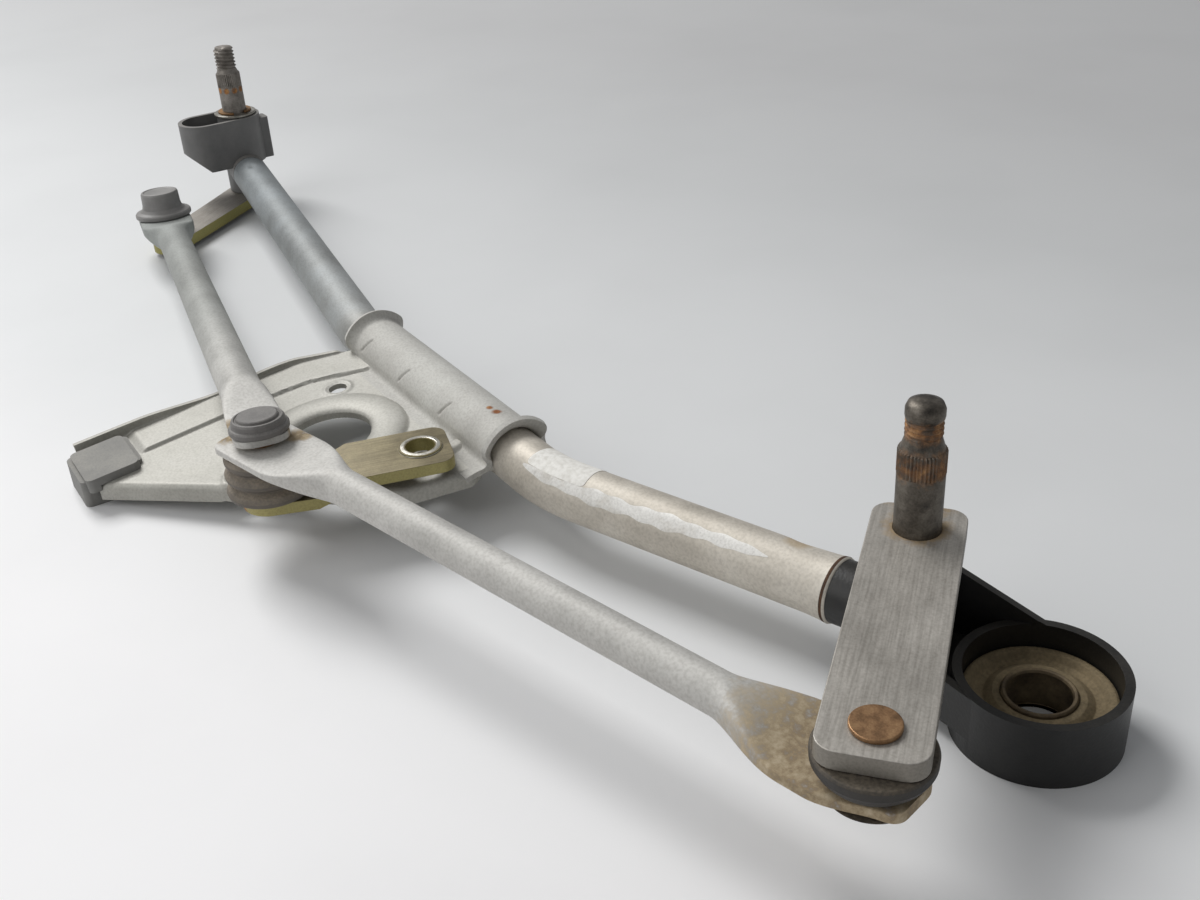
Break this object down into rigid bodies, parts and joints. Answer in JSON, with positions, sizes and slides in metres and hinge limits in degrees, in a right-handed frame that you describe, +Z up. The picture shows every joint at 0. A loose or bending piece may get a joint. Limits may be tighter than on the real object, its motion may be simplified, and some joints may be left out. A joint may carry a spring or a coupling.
{
  "type": "wiper linkage",
  "caption": "Windscreen wiper linkage: bent tube frame with spindle housings, motor plate, rocking levers, pressed tube links and a motor crank on ball joints.",
  "frame": {"origin": "motor shaft axis on the mounting face under the motor plate", "axes": "+X from the far spindle to the near spindle, +Z up the spindles"},
  "size_m": [0.5696, 0.1904, 0.0833],
  "materials": {
    "tube_steel": "weathered zinc",
    "plate_steel": "dull zinc",
    "foot_rubber": "matte",
    "charcoal_plastic": "satin",
    "black_plastic": "satin",
    "bearing_bronze": "sintered",
    "bush_rubber": "dirty matte",
    "sleeve_steel": "dull",
    "spindle_steel": "turned, rust bloomed",
    "washer_steel": "bright",
    "chromate_steel": "yellow chromate",
    "lever_steel": "brushed",
    "stud_steel": "bare, rusty",
    "link_zinc": "pale zinc",
    "socket_plastic": "satin",
    "boot_rubber": "dusty matte"
  },
  "bodies": {
    "frame": {"frame_tube": "tube_steel", "motor_plate": "plate_steel", "rubber_foot": "foot_rubber", "far_housing": "charcoal_plastic", "far_upper_bush": "bearing_bronze", "far_lower_bush": "bearing_bronze", "near_housing": "black_plastic", "near_upper_bush": "bearing_bronze", "near_lower_bush": "bearing_bronze", "eye_bush": "bush_rubber", "eye_sleeve": "sleeve_steel"},
    "far_rocker": {"far_spindle": "spindle_steel", "far_thrust_washer": "washer_steel", "far_retaining_ring": "washer_steel", "far_lever": "chromate_steel", "far_ball_stud": "stud_steel"},
    "near_rocker": {"near_spindle": "spindle_steel", "near_thrust_washer": "washer_steel", "near_retaining_ring": "washer_steel", "near_lever": "lever_steel", "near_ball_stud": "stud_steel"},
    "far_link": {"far_link_bar": "link_zinc", "far_socket": "socket_plastic", "centre_cap_socket": "socket_plastic"},
    "near_link": {"near_link_bar": "link_zinc", "near_socket": "socket_plastic", "near_boot": "boot_rubber", "centre_lower_socket": "socket_plastic", "centre_boot": "boot_rubber"},
    "crank": {"motor_crank": "chromate_steel", "crank_double_stud": "stud_steel"}
  },
  "joints": [
    {"name": "far_sweep", "type": "hinge", "parent": "frame", "child": "far_rocker", "pos_m": [-0.302, 0.081, 0], "axis": [0, 0, 1], "range_deg": [-78, 0]},
    {"name": "near_sweep", "type": "hinge", "parent": "frame", "child": "near_rocker", "pos_m": [0.194, 0.081, 0], "axis": [0, 0, 1], "range_deg": [-78, 0]},
    {"name": "far_link_pivot", "type": "hinge", "parent": "far_rocker", "child": "far_link", "pos_m": [-0.25366, 0.02236, 0.003], "axis": [0, 0, 1], "range_deg": [0, 78]},
    {"name": "near_link_pivot", "type": "hinge", "parent": "near_rocker", "child": "near_link", "pos_m": [0.24234, 0.02236, 0.01895], "axis": [0, 0, 1], "range_deg": [0, 78]},
    {"name": "crank_turn", "type": "hinge", "parent": "near_link", "child": "crank", "pos_m": [0.0286, -0.0306, 0.01295], "axis": [0, 0, 1], "continuous": true}
  ],
  "couplings": [
    {"joint": "far_sweep", "follows": "near_sweep", "ratio": 1},
    {"joint": "far_link_pivot", "follows": "near_sweep", "ratio": -1},
    {"joint": "near_link_pivot", "follows": "near_sweep", "ratio": -1}
  ]
}
